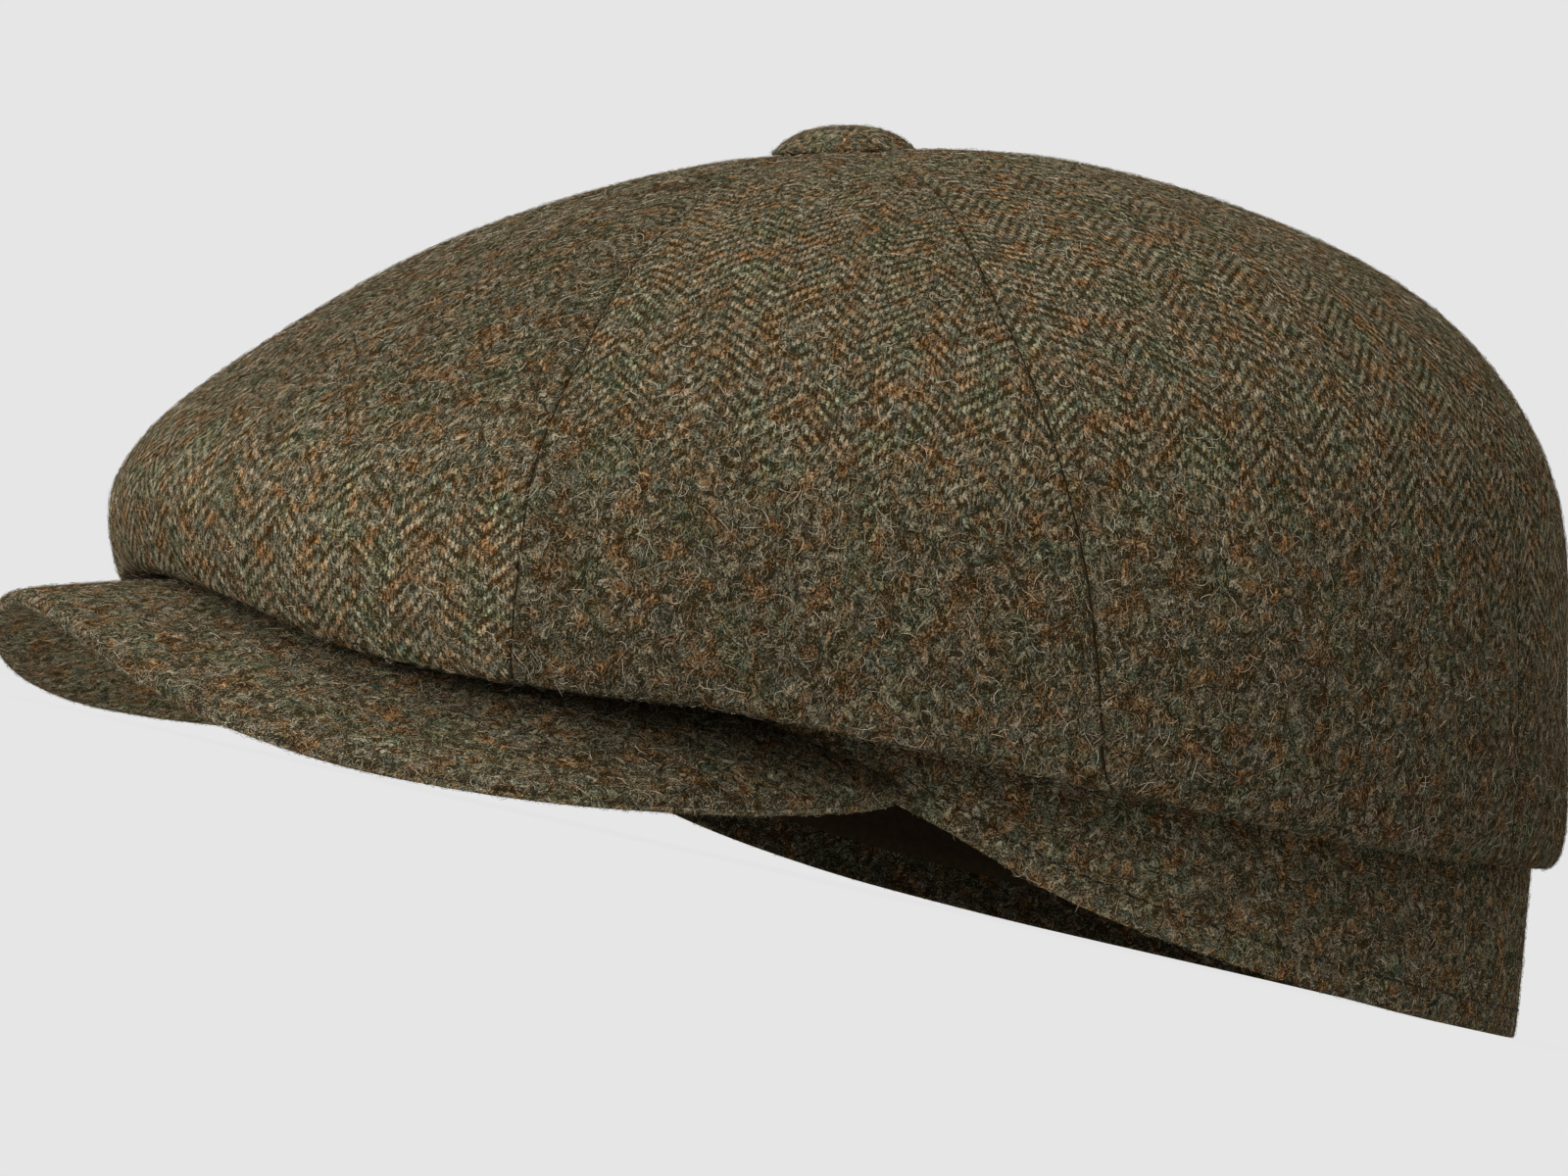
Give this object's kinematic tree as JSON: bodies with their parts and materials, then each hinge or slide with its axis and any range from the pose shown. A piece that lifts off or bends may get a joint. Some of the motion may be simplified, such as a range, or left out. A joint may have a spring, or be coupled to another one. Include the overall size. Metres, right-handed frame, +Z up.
{
  "type": "baker boy cap",
  "caption": "Full tweed cap: panelled crown meeting under a covered button, folded over a head band with a stiff curved peak.",
  "frame": {"origin": "middle of the cap's footprint, on the surface that it rests on", "axes": "+Z up, -Y out of the front of the peak, +X to the wearer's left"},
  "size_m": [0.23, 0.2714, 0.1272],
  "materials": {
    "tweed": "felted herringbone wool tweed, olive brown with rust, tan and blue-green flecks",
    "ribbed_cotton": "very dark brown fine-ribbed sweatband tape"
  },
  "bodies": {
    "root": {"crown_panel_1": "tweed", "crown_panel_2": "tweed", "crown_panel_3": "tweed", "crown_panel_4": "tweed", "crown_panel_5": "tweed", "crown_panel_6": "tweed", "crown_panel_7": "tweed", "crown_panel_8": "tweed", "top_button": "tweed", "peak": "tweed", "head_band": "tweed", "sweatband": "ribbed_cotton"}
  },
  "joints": []
}
